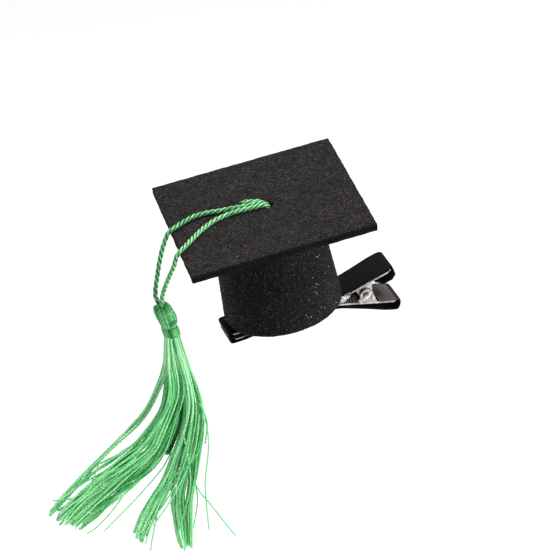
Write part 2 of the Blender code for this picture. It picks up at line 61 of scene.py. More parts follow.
# The design's driving sizes, as the CAD has them, in millimetres and degrees.
TILT = 10.9
BOARD_SIDE = 50.0
BOARD_YAW = -4.5
BOARD_TOP_Z = 33.7
FELT = 1.0
GLUE_FILM = 0.1
LOWER_SHIFT = (-0.05, 0.10)
HOLE_CENTRE = (1.1, -0.3)
HOLE_RADIUS = 1.8
BAND_TOP_Z = 31.5
BAND_HEIGHT = 29.4
BAND_TOP_RADIUS = 14.5
BAND_BOTTOM_RADIUS = 16.3
BAND_OVAL = 0.94
BAND_FELT = 1.2
BAND_LAP = 30.0
BAND_SEAM = 60.0

RIBBON_WIDTH = 10.0
RIBBON = 0.4
STEEL = 0.5
JAW_HALF_GAP = 0.45
UPPER_TIP_X = -16.7
LOWER_TIP_X = -16.5
UPPER_BEND_X = 14.6
LOWER_BEND_X = 13.2
BEND_REACH = 1.5
UPPER_SLOPE = 12.3
LOWER_SLOPE = 16.8
HANDLE_END_X = 30.5
RIBBON_LIFT = 0.03
RIBBON_STOP_X = 25.2
UPPER_SLACK = (0.75, 1.75)
LOWER_SLACK = (1.85, 0.15)
SLACK_START_X = (15.0, 9.0)
SLACK_FULL_X = 28.0
TIP_FOLD = 5.0
TIP_BULGE = 0.32  # how far the ribbon's fold stands off the steel's tip
SAG_FULL_X = 27.5
PIVOT_X = 22.2
PIVOT_Z = -1.1
SPRING_WIRE = 0.6
SPRING_COIL_RADIUS = 1.4
SPRING_TURNS = 5
SPRING_PITCH = 0.78
SPRING_LEG = 2.8

CORD_DIAMETER = 1.3
CORD_LIE_Z = BOARD_TOP_Z + CORD_DIAMETER / 2 + 0.1
CORD_LEFT = [
    (1.8, 0.42, 29.3), (1.8, 0.42, 30.6), (1.78, 0.42, 31.9), (1.45, 0.42, 33.15),
    (0.5, 0.42, 34.12), (-0.9, 0.45, CORD_LIE_Z), (-3.5, 0.8, CORD_LIE_Z), (-7, 1.95, CORD_LIE_Z),
    (-10.3, 2.75, CORD_LIE_Z), (-14.3, 4, CORD_LIE_Z), (-17.3, 4.3, CORD_LIE_Z),
    (-20.6, 3.4, CORD_LIE_Z), (-23.4, 2.1, CORD_LIE_Z), (-25.3, 1.25, 34.4), (-26.5, 0.9, 33.5),
    (-27.5, 0.65, 32), (-28.75, 0.35, 30), (-30.35, -0.2, 26.8), (-31.9, -0.9, 23.35),
    (-33.15, -1.6, 20.5), (-33.7, -2.25, 18.7), (-33.55, -2.7, 17.7),
]
CORD_RIGHT = [
    (1.8, -1.02, 29.3), (1.8, -1.02, 30.6), (1.78, -1.02, 31.9), (1.45, -1.02, 33.15),
    (0.5, -1.02, 34.12), (-0.9, -1, CORD_LIE_Z), (-3.5, -0.7, CORD_LIE_Z), (-7, -0.15, CORD_LIE_Z),
    (-11.2, -0.4, CORD_LIE_Z), (-14.9, -1.6, CORD_LIE_Z), (-18.3, -3.75, CORD_LIE_Z),
    (-21.7, -6.6, CORD_LIE_Z), (-24.3, -8.9, CORD_LIE_Z), (-26.2, -10.15, 34.25),
    (-27.3, -10.05, 32.8), (-28.4, -9.25, 29.9), (-29.9, -7.75, 26.5), (-31.3, -6.3, 23.1),
    (-32.2, -5.1, 20.3), (-32.8, -4.35, 17.6),
]

TASSEL_PIVOT = (-35.1, -3.5, 9.0)
TASSEL_LEAN = 15.9
WRAP_TOP = -6.6
WRAP_FOOT = -9.8
WRAP_RADIUS = 2.45

# The sizes below are for the looks only. Felt and ribbon:
RIM = 0.1  # width of the rounding along a felt square's edge
PAINTED_EDGE_SHADE = -0.5  # painted shade: how dark its cut edge grows towards the underside
EDGE_LOSS = 0.02  # how far inside its line a cut edge lies on the whole
NAP_LIMIT = 0.05  # how far a square's nap rises and falls
BOARD_FLAKES = 700  # glitter on each face of the board
BAND_FLAKES = 2600
FLAKE_POINTS = 12
RIB_PITCH = 0.55  # of the ribbon's weft
TIP_PUFF = 0.4  # looseness of the ribbon over the tips
UPPER_END_BULGE = 0.15  # how far its fold stands off each handle's end
LOWER_END_BULGE = 0.65

# The cord.
CORD_STEP = 0.16  # between the rings of its plies
CORD_PLIES = 3
CORD_TWIST = 5.0  # length of one whole turn of the plies
PLY_CENTRE = 0.345  # how far a ply's middle is from the cord's
PLY_RADIUS = 0.325
RIDGE_TWIST = 1.4  # length of one whole turn of a ply's filaments
PAINTED_GROOVE_SHADE = 1.5  # painted shade: how fast the cord darkens into the grooves between its plies
GROOVE_START = 0.86  # and at what share of the cord's radius that starts
# Where each leg runs on inside the tassel's head, to the loop's turn.
LOOP_TURN = {"cord_leg_left": (-33.15, -3.05, 16.60), "cord_leg_right": (-32.72, -4.00, 16.50)}
# The cord's cut end, out of the hole again and over the back leg.
CORD_STUB = [
    (0.95, 0.85, 33.10), (0.50, 0.95, 33.85), (-0.45, 1.10, CORD_LIE_Z + 0.02),
    (-1.90, 1.60, CORD_LIE_Z + 0.22), (-3.60, 2.15, CORD_LIE_Z + 0.60),
]

# The tassel's head and neck, in the axis frame.
PINCH = (0.9, -4.3)  # where the windings draw the head's strands in, the middle of a painted shade
HEAD_THREAD = 0.235  # a strand's radius
WOUND_THREAD = 0.36  # the winding thread's radius
WOUND_TURNS = 5.6
WOUND_TOP = -6.0  # the first turn's height, and the last one's
WOUND_FOOT = -9.25
SEAM_ANGLE = math.radians(-108)  # where the windings' end is drawn under them, in front

# Outline of the tassel's head, in its axis frame: height, then how far it reaches to -X, to +X
# and to each side along Y.
HEAD_OUTLINE = [
    (-6.9, 1.65, 1.65, 1.6), (-5.9, 1.75, 1.95, 1.8), (-4.6, 2.25, 2.65, 2.5),
    (-2.8, 2.60, 2.85, 2.7), (-0.8, 2.72, 2.45, 2.4), (0.7, 2.62, 1.85, 1.6),
    (1.5, 2.35, 1.30, 0.8), (1.9, 2.10, 0.90, 0.0),
]

# The skirt's bundles of floss, in the tassel frame: how many strands, their depth along Y (middle,
# then half), their tone, how far they gather, and their two edges, as (x, z) from the neck down.
BUNDLES = {
    "skirt_left": dict(strands=62, depth=(-1.1, 1.9), tone=0.58, edges=([
        (0.6, -11), (0.2, -17), (0.2, -23.8), (-1.6, -29.5), (-4.4, -34), (-8.3, -39.2),
        (-15.5, -43.6), (-21.6, -47.2), (-28.5, -52.5), (-34, -58.7)
    ], [
        (2.7, -11.4), (3.9, -17), (5, -24.7), (4.3, -29.6), (2.8, -35.3), (0.7, -41), (-1.6, -45.8),
        (-5.7, -50.2), (-12.3, -55.3), (-25.5, -64.8)
    ])),
    "skirt_middle": dict(strands=34, depth=(0.3, 2), tone=0.59, edges=([
        (2.4, -11.4), (3.7, -17), (5, -24), (5.6, -32.4), (4.3, -40.4), (1.7, -45.8), (-0.9, -52.4),
        (-4.8, -58.8), (-8.2, -65), (-10.3, -70.4)
    ], [
        (3.8, -11.6), (5.4, -17), (6.6, -24), (6.7, -32.8), (5.5, -38.9), (4.2, -45), (2.6, -53),
        (-0.6, -60.5), (-4, -67), (-7, -73.7)
    ])),
    "skirt_right": dict(strands=46, depth=(0.5, 2.1), tone=0.72, edges=([
        (3.4, -11.4), (5, -17), (6.2, -24), (6.4, -33), (5.4, -40), (3.6, -47), (2, -53.5),
        (1.4, -60), (1.9, -68), (3.5, -78)
    ], [
        (4.9, -11.3), (6.8, -18.4), (8.9, -25.1), (10.5, -30.4), (11, -35), (10.6, -40.6),
        (9.4, -47.1), (8.6, -54.5), (7.4, -62), (6.9, -78.2)
    ])),
    "skirt_wisp_left": dict(strands=9, depth=(1.6, 0.9), tone=0.86, gather=0.1, edges=([
        (0.4, -11.4), (-0.3, -19), (-2.3, -24.9), (-5.2, -30.6), (-10.4, -36.2), (-15, -41.3),
        (-19.3, -45.2), (-25, -50), (-30, -55.3), (-33.6, -59)
    ], [
        (1, -11.6), (0.6, -20), (-1.6, -27), (-4.2, -32.8), (-7.5, -36.6), (-12.2, -39.9),
        (-17, -44), (-22.5, -49.8), (-27.5, -55), (-32, -60)
    ])),
    # The back bundle's low tone is painted shade: it hangs behind the others.
    "skirt_back": dict(strands=24, depth=(2.6, 0.9), tone=-0.2, edges=([
        (2, -11.4), (4, -20), (4.2, -28), (2.4, -36), (0.4, -42), (-0.9, -46.5)
    ], [
        (3.2, -11.5), (5.8, -20), (6.6, -28), (5.6, -36), (4, -42.5), (1.6, -48.5)
    ])),
}

# Single strands that stray from the bundles, in the tassel frame.
STRAYS = [
    [(6.4, 0.4, -46), (6.8, 0.4, -52.1), (9.3, 0.3, -59.4), (12.1, 0.2, -63.8), (15.8, 0.1, -70),
     (19.7, 0, -76.4)],
    [(6.6, 0.6, -20), (9.3, 0.5, -27.5), (11.3, 0.4, -36.3), (12.1, 0.3, -41), (12.1, 0.2, -47.7),
     (11.3, 0.2, -54.9), (11.1, 0.1, -59.8), (12, 0, -72.8)],
    [(6.4, 1.2, -46), (7.4, 1.2, -52.2), (8.8, 1, -59.3), (8.9, 0.9, -64.9), (6.9, 0.7, -75.4)],
    [(6.6, 1.6, -48), (7.3, 1.6, -53.8), (7.8, 1.5, -58.5), (6.5, 1.3, -72.7)],
    [(0.6, -0.6, -53), (-2.5, -0.6, -60.6), (-3.1, -0.6, -65), (-4.4, -0.5, -71.4),
     (-5.1, -0.5, -76)],
    [(1.8, 1, -46), (-1.2, 1, -51.1), (-7, 0.9, -57.4), (-11.6, 0.7, -61.7), (-18, 0.5, -67.5)],
    [(-6, -0.4, -49.5), (-11.4, -0.4, -55.2), (-15.8, -0.4, -60.8), (-20.2, -0.3, -65.1),
     (-22.8, -0.3, -66.5)],
    [(-18, -1.4, -52), (-22.6, -1.6, -53.3), (-25.4, -1.6, -53.6), (-29.3, -1.5, -53.5),
     (-32.4, -1.4, -53.2)],
    [(-17.6, -1.6, -41.6), (-19.3, -2, -43.7), (-20.8, -2.2, -47.2), (-22.6, -2.2, -51.3)],
    [(10.4, -1.6, -36), (9.5, -2.2, -43), (5.7, -2.6, -48.6), (1.8, -2.8, -50.8),
     (-0.6, -2.8, -53.5), (-3, -2.6, -56.9), (-5.6, -2.4, -60.9)],
    [(9, -1.9, -30), (10.7, -2.1, -34.3), (11.2, -2.1, -38), (10.5, -2.1, -43.2)],
    [(9.2, -1.5, -34), (7.6, -2.4, -44), (4.2, -2.6, -52), (0.2, -2.5, -59.5), (-4.6, -2.2, -66.5)],
    [(7, -1.5, -36), (5.2, -2.5, -45), (2.6, -2.7, -52.5), (-1.6, -2.6, -60), (-7.2, -2.2, -67)],
    [(4.4, -1.5, -38), (5.6, -2.6, -47), (6, -2.7, -55), (4.4, -2.5, -63), (2.2, -2.2, -71)],
]
NECK_DEPTH = 1.75  # half of the skirt's depth where it leaves the neck
NECK_MIDDLE_X = 2.7
GATHER = 0.5  # how far a strand leaves its own place for its clump's
FLOSS_RADIUS = 0.25
THREAD_TWIST = 2.2  # length of one whole turn of a thread's two plies
TAPER = 14.0  # length over which a strand of the skirt thickens from the neck
PAINTED_ROOT_HIGHLIGHT = 0.36  # painted highlight: how much paler it is there
PAINTED_END_LIGHT = 0.17  # and painted light towards its cut end,
END_REACH = 24  # over this length

# The camera: its direction in degrees, and its place from the board's middle in millimetres.
CAMERA_AZIMUTH = -18.24
CAMERA_ELEVATION = 28.90
CAMERA_BACK = 791.75
CAMERA_RIGHT = 3.60
CAMERA_UP = -18.48
LENS = 196.0

FLOOR_REACH = 6.0  # metres
FLOOR_LEVEL = -0.25
ROOM_LIGHT = 0.42
# Each light's name, place and size in metres, and power in watts.
LIGHTS = (
    ("softbox", (0.10, 0.40, 1.30), 1.5, 22.0), ("key", (0.30, -0.35, 0.75), 0.20, 5.0),
    ("side", (0.66, -0.35, 0.06), 0.35, 5.0),
)

CAP = Matrix.Rotation(-math.radians(TILT), 4, 'Y')
TASSEL = Matrix.Translation(TASSEL_PIVOT)
AXIS = TASSEL @ Matrix.Rotation(-math.radians(TASSEL_LEAN), 4, 'Y')


# ---- shapes ----

def show(name, data):
    """A new object of the scene."""
    made = bpy.data.objects.new(name, data)
    bpy.context.scene.collection.objects.link(made)
    return made


def moved(places, matrix):
    """The places, a row each, as the matrix turns and shifts them."""
    return places @ np.array(matrix.to_3x3()).T + np.array(matrix.translation)


class Shape:
    """One piece's closed parts, gathered in millimetres.

    Each vertex has a tone, about 0 to 1, for its shade, and a fibre place, whose Z runs along a
    strand or ribbon and whose X and Y go round it.
    """

    def __init__(self):
        self.places = []
        self.faces = []
        self.tones = []
        self.fibres = []
        self.count = 0

    def add(self, places, faces, tone=0.5, fibres=None):
        places = np.asarray(places, float).reshape(-1, 3)
        self.places.append(places)
        self.faces += [[self.count + i for i in face] for face in faces]
        self.tones.append(np.broadcast_to(tone, len(places)))
        self.fibres.append(np.zeros((len(places), 3)) if fibres is None else fibres)
        self.count += len(places)

    def piece(self, name, material, matrix=CAP, crease=60):
        """The object, in the row frame, shaded smooth but for edges sharper than the crease."""
        places = moved(np.vstack(self.places), matrix)
        mesh = bpy.data.meshes.new(name)
        mesh.from_pydata((places * MM).tolist(), [], self.faces)
        mesh.attributes.new("tone", 'FLOAT', 'POINT').data.foreach_set(
            "value", np.concatenate(self.tones).astype(np.float32))
        mesh.attributes.new("fibre", 'FLOAT_VECTOR', 'POINT').data.foreach_set(
            "vector", np.vstack(self.fibres).astype(np.float32).ravel())
        mesh.shade_smooth()
        mesh.set_sharp_from_angle(angle=math.radians(crease))
        mesh.materials.append(material)
        return show(name, mesh)


def put(piece, body, slot, *nodes):
    """The piece rides on its body and stands for its CAD nodes. Its slot is not used."""
    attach(piece, body)
    if nodes:
        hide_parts(*nodes)


def ease(share):
    """A share held between 0 and 1, gentle at both ends."""
    share = np.clip(share, 0, 1)
    return share * share * (3 - 2 * share)


def smooth_route(route, step):
    """Points a step apart on a Catmull-Rom curve through the route's points."""
    knots = np.array(route, float)
    knots = np.vstack([2 * knots[0] - knots[1], knots, 2 * knots[-1] - knots[-2]])
    t = np.linspace(0, 1, 24, endpoint=False)[:, None]
    runs = [0.5 * (2 * b + (c - a) * t + (2 * a - 5 * b + 4 * c - d) * t ** 2
                   + (3 * b - a - 3 * c + d) * t ** 3)
            for a, b, c, d in zip(knots, knots[1:], knots[2:], knots[3:])]
    return even_steps(np.vstack(runs + [knots[-2:-1]]), step)


def walked_lengths(path):
    """How far along the path each of its points lies."""
    return np.concatenate([[0], np.cumsum(np.linalg.norm(np.diff(path, axis=0), axis=1))])


def even_steps(path, step, share=1.0):
    """The path's first share, in equal steps of about this length."""
    walked = walked_lengths(path)
    count = max(round(walked[-1] * share / step), 2)
    wanted = np.linspace(0, walked[-1] * share, count + 1)
    return np.stack([np.interp(wanted, walked, path[:, k]) for k in range(path.shape[1])], axis=1)


def cross_directions(path):
    """Two directions square to the path at each point, carried along it without twist."""
    ahead = np.gradient(path, axis=0)
    ahead /= np.linalg.norm(ahead, axis=1)[:, None]
    side = np.cross(ahead[0], (0.0, 1.0, 0.0) if abs(ahead[0][1]) < 0.9 else (1.0, 0.0, 0.0))
    sides = []
    for direction in ahead:
        side = side - direction * (side @ direction)
        side = side / np.linalg.norm(side)
        sides.append(side)
    sides = np.array(sides)
    return sides, np.cross(ahead, sides)


def add_tube(shape, path, offsets, tone=0.5, seed=0.0):
    """A closed tube: offsets[i] holds ring i's places round path[i], as (side, up) pairs.

    The tone is one number, one for each ring, or one for each place of each ring.
    """
    sides, ups = cross_directions(path)
    rings = path[:, None] + offsets[..., :1] * sides[:, None] + offsets[..., 1:] * ups[:, None]
    count, round_it = offsets.shape[:2]
    faces = [list(range(round_it))[::-1], list(range((count - 1) * round_it, count * round_it))]
    for i in range(count - 1):
        a, b = i * round_it, (i + 1) * round_it
        for k in range(round_it):
            n = (k + 1) % round_it
            faces.append([a + k, a + n, b + n, b + k])
    fibres = np.zeros((count, round_it, 3))
    size = np.linalg.norm(offsets, axis=2).max() + 1e-9
    fibres[..., :2] = offsets / size
    fibres[..., 2] = walked_lengths(path)[:, None]
    fibres += seed
    tones = np.asarray(tone, float)
    if tones.ndim < 2:
        tones = np.broadcast_to(tones.reshape(-1, 1), (count, round_it))
    shape.add(rings.reshape(-1, 3), faces, tones.reshape(-1), fibres.reshape(-1, 3))


def round_offsets(radii, sides, oval=0.0, pitch=3.0, phase=0.0, step=1.0):
    """Rings of these radii. With oval, the section is drawn out and turns along the tube."""
    angle = np.linspace(0, 2 * np.pi, sides, endpoint=False)[None, :]
    turn = (np.arange(len(radii)) * step * 2 * np.pi / pitch + phase)[:, None]
    radius = np.asarray(radii)[:, None] * (1 + oval * np.cos(2 * (angle - turn)))
    return np.stack([radius * np.cos(angle), radius * np.sin(angle)], axis=2)


def add_sheet(shape, upper, lower, keep=None, tone=0.5, along=0.0):
    """A closed sheet between two grids of places. keep says which of the grid's cells it has.

    The tone, and the place along the sheet, are one number, one for each row, or one for each
    place of the two grids.
    """
    rows, columns = upper.shape[:2]
    keep = np.ones((rows - 1, columns - 1), bool) if keep is None else keep
    offset = rows * columns
    faces = []
    for i, j in zip(*np.nonzero(keep)):
        a, b = i * columns + j, (i + 1) * columns + j
        c, d = b + 1, a + 1
        faces.append([a, b, c, d])
        faces.append([offset + d, offset + c, offset + b, offset + a])
        for start, end, u, v in ((a, b, i, j - 1), (b, c, i + 1, j), (c, d, i, j + 1),
                                 (d, a, i - 1, j)):
            if not (0 <= u < rows - 1 and 0 <= v < columns - 1 and keep[u, v]):
                faces.append([end, start, offset + start, offset + end])
    places = np.vstack([upper.reshape(-1, 3), lower.reshape(-1, 3)])
    used, fresh = np.unique(faces, return_inverse=True)

    def at_places(value):
        """The value at each place that the sheet uses."""
        value = np.asarray(value, float)
        if value.ndim < 3:
            value = np.broadcast_to(value.reshape(-1, 1), (2, rows, columns))
        return value.reshape(-1)[used]

    marks = at_places(along)
    fibres = np.stack([0 * marks, 0 * marks, marks], axis=1)
    shape.add(places[used], fresh.reshape(-1, 4).tolist(), at_places(tone), fibres)


def turned(shape, profile, matrix, sides=40, tone=0.5):
    """A turned part: (radius, height) from its foot up, closed at both ends on the axis."""
    places = [(0, 0, profile[0][1])]
    angle = np.linspace(0, 2 * np.pi, sides, endpoint=False)
    for radius, z in profile:
        places += list(zip(radius * np.cos(angle), radius * np.sin(angle), [z] * sides))
    places.append((0, 0, profile[-1][1]))
    top = len(places) - 1
    faces = []
    for k in range(sides):
        n = (k + 1) % sides
        faces.append([0, 1 + n, 1 + k])
        faces.append([top, top - sides + k, top - sides + n])
        for i in range(len(profile) - 1):
            a, b = 1 + i * sides, 1 + (i + 1) * sides
            faces.append([a + k, a + n, b + n, b + k])
    shape.add(moved(np.array(places), matrix), faces, tone)


def relief(rng, rows, columns):
    """Random heights of about 1, fine grain on soft lumps a few cells wide."""
    grain = rng.standard_normal((rows, columns))
    lumps = grain.copy()
    for _ in range(2):
        lumps = sum(np.roll(lumps, step, axis) for step in (-1, 1) for axis in (0, 1)) + lumps
        lumps /= lumps.std()
    return 0.75 * lumps + 0.35 * grain


# ---- materials ----

class Finish:
    """A material and the few node patterns that its surface is made of."""

    def __init__(self, name, **sockets):
        self.material = bpy.data.materials.new(name)
        self.material.use_nodes = True
        self.tree = self.material.node_tree
        self.shader = self.tree.nodes["Principled BSDF"]
        for socket, value in sockets.items():
            self.shader.inputs[socket.replace("_", " ")].default_value = value

    def node(self, kind, links=(), **settings):
        """A node with its settings, and its inputs linked or set."""
        made = self.tree.nodes.new(kind)
        for key, value in settings.items():
            setattr(made, key, value)
        for socket, value in dict(links).items():
            if isinstance(value, bpy.types.NodeSocket):
                self.tree.links.new(value, made.inputs[socket])
            else:
                made.inputs[socket].default_value = value
        return made

    def place(self, stretch=(1, 1, 1)):
        """The point on the piece, in metres, stretched along its axes."""
        point = self.node("ShaderNodeTexCoord").outputs["Object"]
        return self.node("ShaderNodeMapping", {"Vector": point, "Scale": stretch}).outputs[0]

    def noise(self, place, scale, detail=2.0, rough=0.5):
        inputs = {"Vector": place, "Scale": scale, "Detail": detail, "Roughness": rough}
        return self.node("ShaderNodeTexNoise", inputs).outputs["Fac"]

    def colour(self, source, *stops):
        """The base colour, along a source from 0 to 1: (place, colour) pairs."""
        made = self.node("ShaderNodeValToRGB", {"Fac": source})
        band = made.color_ramp
        while len(band.elements) < len(stops):
            band.elements.new(0.5)
        for element, (at, shade) in zip(band.elements, stops):
            element.position = at
            element.color = (*shade, 1)
        self.link("Base Color", made.outputs["Color"])

    def range(self, source, low, high, start=0.3, end=0.7):
        inputs = {0: source, "From Min": start, "From Max": end, "To Min": low, "To Max": high}
        return self.node("ShaderNodeMapRange", inputs).outputs["Result"]

    def maths(self, operation, a, b):
        return self.node("ShaderNodeMath", {0: a, 1: b}, operation=operation).outputs[0]

    def total(self, *terms):
        """The sum of (source, weight) pairs."""
        weighted = [self.maths('MULTIPLY', source, weight) for source, weight in terms]
        result = weighted[0]
        for term in weighted[1:]:
            result = self.maths('ADD', result, term)
        return result

    def attribute(self, name, output):
        return self.node("ShaderNodeAttribute", attribute_name=name).outputs[output]

    def bump(self, height, distance, strength=1.0):
        inputs = {"Height": height, "Distance": distance, "Strength": strength}
        self.link("Normal", self.node("ShaderNodeBump", inputs).outputs["Normal"])

    def link(self, socket, source):
        self.tree.links.new(source, self.shader.inputs[socket])


def felt_finish():
    """Black glitter felt: matted fibre mottled darker and paler, with a faint dusting of shine, and
    painted shade from its tone.
    """
    felt = Finish("glitter_felt", Roughness=0.85, Specular_IOR_Level=0.12)
    place = felt.place()
    grain = felt.noise(place, 2300, 3, 0.7)
    tufts = felt.noise(place, 1150, 2, 0.6)
    patches = felt.noise(place, 260, 3, 0.6)
    nap = felt.total((grain, 0.56), (tufts, 0.30), (patches, 0.14))
    # The tone paints shade on the board's cut edges and on the band's wall.
    painted_shade = felt.range(felt.attribute("tone", "Fac"), -0.16, 0.0, -0.5, 0.5)
    felt.colour(felt.maths('ADD', nap, painted_shade), (0.38, (0.0022, 0.0018, 0.0020)),
                (0.50, (0.0092, 0.0078, 0.0076)), (0.63, (0.0440, 0.0385, 0.0370)))
    felt.bump(felt.noise(place, 3800, 3, 0.7), 0.00012, 0.9)
    return felt.material


def flake_finish():
    """Black film flakes, glossy, a few of them greyer."""
    flake = Finish("glitter_flake", IOR=1.55)
    flake.colour(flake.attribute("tone", "Fac"), (0.0, (0.005, 0.005, 0.005)),
                 (0.8, (0.010, 0.010, 0.010)), (1.0, (0.045, 0.044, 0.047)))
    flake.link("Roughness", flake.range(flake.noise(flake.place(), 9000), 0.10, 0.20))
    return flake.material


def ribbon_finish():
    """Black grosgrain: close weft ribs with painted shade between them, paler and browner in worn
    patches and round the handles' ends, with a painted sheen inside the lower handle.
    """
    ribbon = Finish("black_grosgrain", Specular_IOR_Level=0.08)
    fibre = ribbon.attribute("fibre", "Vector")
    along = ribbon.node("ShaderNodeSeparateXYZ", {0: fibre}).outputs[2]
    # Painted shade in the grooves between the ribs, and painted light on their crests.
    painted_rib_shade = ribbon.maths('COSINE', ribbon.maths('MULTIPLY', along, 2 * math.pi / RIB_PITCH), 0)
    threads = ribbon.noise(ribbon.place((1, 0.12, 1)), 14000, 2, 0.6)
    worn = ribbon.noise(ribbon.place(), 420, 3, 0.6)
    rib_shade_and_wear = ribbon.total((painted_rib_shade, 0.21), (ribbon.maths('ADD', threads, worn), 0.15))
    shade = ribbon.maths('ADD', rib_shade_and_wear, ribbon.attribute("tone", "Fac"))
    ribbon.colour(shade, (0.20, (0.0016, 0.0015, 0.0016)), (0.50, (0.0060, 0.0052, 0.0052)),
                  (0.80, (0.0300, 0.0225, 0.0220)), (1.00, (0.1500, 0.1350, 0.1350)))
    ribbon.link("Roughness", ribbon.range(threads, 0.42, 0.66))
    ribbon.bump(threads, 0.00004, 0.7)
    return ribbon.material


def steel_finish():
    """Nickel plate with rolling scratches, and patches that run from dark and glossy to pale and
    rough.
    """
    steel = Finish("nickel_plate", Metallic=1.0)
    scratches = steel.noise(steel.place((0.15, 1, 1)), 7000, 3, 0.6)
    patches = steel.noise(steel.place(), 700, 3, 0.6)
    steel.colour(patches, (0.36, (0.150, 0.145, 0.125)), (0.50, (0.340, 0.330, 0.300)),
                 (0.66, (0.720, 0.710, 0.670)))
    wear = steel.maths('ADD', scratches, patches)
    steel.link("Roughness", steel.range(wear, 0.14, 0.40, 0.7, 1.3))
    steel.bump(scratches, 0.000012, 0.6)
    return steel.material


def glue_finish():
    """Cloudy hot-melt glue."""
    glue = Finish("hot_glue", Roughness=0.14, IOR=1.48, Transmission_Weight=0.45)
    cloud = glue.noise(glue.place(), 900, 3, 0.6)
    glue.colour(cloud, (0.35, (0.55, 0.53, 0.50)), (0.65, (0.86, 0.85, 0.82)))
    glue.bump(glue.noise(glue.place(), 2200), 0.00008, 0.6)
    return glue.material


def floss_finish(name, dark, middle, light, roughness):
    """Rayon floss: glossy filaments along each strand, each strand in its own tone, which also
    carries painted light and shade.
    """
    floss = Finish(name, Roughness=roughness, Specular_IOR_Level=0.7,
                   Specular_Tint=(0.55, 1, 0.60, 1))
    tone = floss.attribute("tone", "Fac")
    along = floss.attribute("fibre", "Vector")
    stretched = floss.node("ShaderNodeMapping", {"Vector": along, "Scale": (0.6, 0.6, 0.4)})
    filaments = floss.noise(stretched.outputs[0], 3.0, 3, 0.65)
    shade = floss.total((floss.range(filaments, 0, 1), 0.42), (tone, 0.62))
    floss.colour(shade, (0.16, dark), (0.50, middle), (0.86, light))
    floss.link("Roughness", floss.range(filaments, roughness + 0.12, roughness - 0.08))
    floss.bump(filaments, 0.00006, 0.8)
    return floss.material


FELT_FINISH = felt_finish()
FLAKES = flake_finish()
GROSGRAIN = ribbon_finish()
NICKEL = steel_finish()
GLUE = glue_finish()
CORD = floss_finish("green_cord", (0.003, 0.055, 0.016), (0.050, 0.290, 0.085),
                    (0.430, 0.780, 0.450), 0.30)
FLOSS = floss_finish("green_floss", (0.002, 0.110, 0.028), (0.085, 0.520, 0.142),
                     (0.520, 0.960, 0.570), 0.32)


# ---- camera ----

def make_camera():
    """A long lens from the left and above."""
    azimuth, elevation = math.radians(CAMERA_AZIMUTH), math.radians(CAMERA_ELEVATION)
    back = Vector((math.sin(azimuth) * math.cos(elevation),
                   -math.cos(azimuth) * math.cos(elevation), math.sin(elevation)))
    right = Vector((math.cos(azimuth), math.sin(azimuth), 0))
    middle = CAP @ Vector((0, 0, BOARD_TOP_Z))
    camera = show("camera", bpy.data.cameras.new("camera"))
    camera.data.lens = LENS
    camera.data.clip_start = 0.05
    camera.data.clip_end = 50
    camera.location = (middle + back * CAMERA_BACK + right * CAMERA_RIGHT
                       + back.cross(right) * CAMERA_UP) * MM
    camera.rotation_mode = 'QUATERNION'
    camera.rotation_quaternion = (-back).to_track_quat('-Z', 'Y')
    bpy.context.scene.camera = camera


# ---- cord ----

def add_ply(shape, path, number, tone):
    """One of a cord's plies: a ridged strand round the cord's middle, with painted shade in the
    grooves.
    """
    ridges, points = 8, 32
    walked = walked_lengths(path)[:, None]
    angle = np.linspace(0, 2 * np.pi, points, endpoint=False)[None, :]
    turn = 2 * np.pi * (number / CORD_PLIES - walked / CORD_TWIST)
    ridge = PLY_RADIUS * (1 + 0.07 * np.cos(ridges * angle + walked * 2 * np.pi / RIDGE_TWIST))
    offsets = np.stack([PLY_CENTRE * np.cos(turn) + ridge * np.cos(angle),
                        PLY_CENTRE * np.sin(turn) + ridge * np.sin(angle)], axis=2)
    outward = np.linalg.norm(offsets, axis=2) / (PLY_CENTRE + PLY_RADIUS)
    shade = PAINTED_GROOVE_SHADE * (outward - GROOVE_START)
    add_tube(shape, path, offsets, tone + shade, seed=7.0 * number)


def make_fray():
    """The cord's cut end beside the legs, with its loose filaments."""
    rng = random.Random(8)
    shape = Shape()
    stub = smooth_route(CORD_STUB, CORD_STEP)
    for number in range(CORD_PLIES):
        add_ply(shape, stub, number, 0.60)
    for _ in range(12):
        x, y = rng.uniform(-4.3, -3.0), rng.uniform(1.6, 2.3)
        z = CORD_LIE_Z + rng.uniform(0.4, 0.8)
        route = [(x, y, z - 0.3),
                 (x + rng.uniform(-0.5, 0.2), y + 0.25, z + rng.uniform(0.1, 0.35)),
                 (x + rng.uniform(-1.1, 0.4), y + rng.uniform(0.2, 0.6), z + rng.uniform(0.2, 0.6))]
        path = smooth_route(route, 0.15)
        add_tube(shape, path, round_offsets(np.linspace(0.13, 0.06, len(path)), 6), 0.7)
    put(shape.piece("cord_fray", CORD), "cap", "cord")


def make_cords():
    """The loop's two legs, from under the board to the tassel's head."""
    for name, route, tone, carried in (
            ("cord_leg_left", CORD_LEFT, 0.44, "tassel_head_strands"),
            ("cord_leg_right", CORD_RIGHT, 0.56, "tassel_neck_windings")):
        path = smooth_route(route + [LOOP_TURN[name]], CORD_STEP)
        shape = Shape()
        for number in range(CORD_PLIES):
            add_ply(shape, path, number, tone + 0.05 * number)
        leg = shape.piece(name + "_twisted", CORD, crease=40)
        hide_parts(name)
        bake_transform(leg)


# ---- tassel ----

